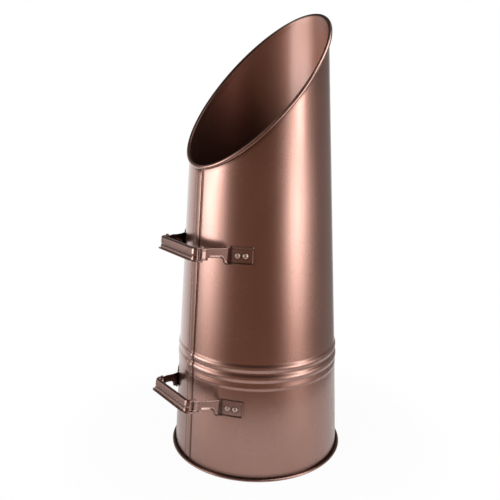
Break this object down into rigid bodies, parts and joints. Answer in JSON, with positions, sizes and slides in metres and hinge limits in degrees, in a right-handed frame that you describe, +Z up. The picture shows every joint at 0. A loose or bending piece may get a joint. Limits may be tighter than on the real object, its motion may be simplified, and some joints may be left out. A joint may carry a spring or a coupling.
{
  "type": "coal scuttle",
  "caption": "Tall tapered sheet-metal coal scuttle with an oblique wired mouth, swaged beads and riveted handles one above the other on its seam side.",
  "frame": {"origin": "the body's axis at the floor, on the flat underside of the base pan", "axes": "+Z up along the body's axis; +X towards the long pouring lip; the seam and the handles are on -X"},
  "size_m": [0.2301, 0.208, 0.5094],
  "materials": {
    "copper_sheet": "satin copper-brown metallic finish on steel sheet, inside and outside",
    "copper_fittings": "the same satin copper-brown finish on pressed steel",
    "copper_fasteners": "the same finish over steel rivets and pins",
    "wire_steel": "bare drawn steel wire, closed inside the roll of the mouth"
  },
  "bodies": {
    "root": {"body_shell": "copper_sheet", "rim_wire": "wire_steel", "base_pan": "copper_sheet", "upper_left_lug": "copper_fittings", "upper_right_lug": "copper_fittings", "lower_left_lug": "copper_fittings", "lower_right_lug": "copper_fittings", "upper_grip": "copper_fittings", "lower_grip": "copper_fittings", "upper_left_pin": "copper_fasteners", "upper_right_pin": "copper_fasteners", "lower_left_pin": "copper_fasteners", "lower_right_pin": "copper_fasteners", "upper_left_rivets": "copper_fasteners", "upper_right_rivets": "copper_fasteners", "lower_left_rivets": "copper_fasteners", "lower_right_rivets": "copper_fasteners"}
  },
  "joints": []
}
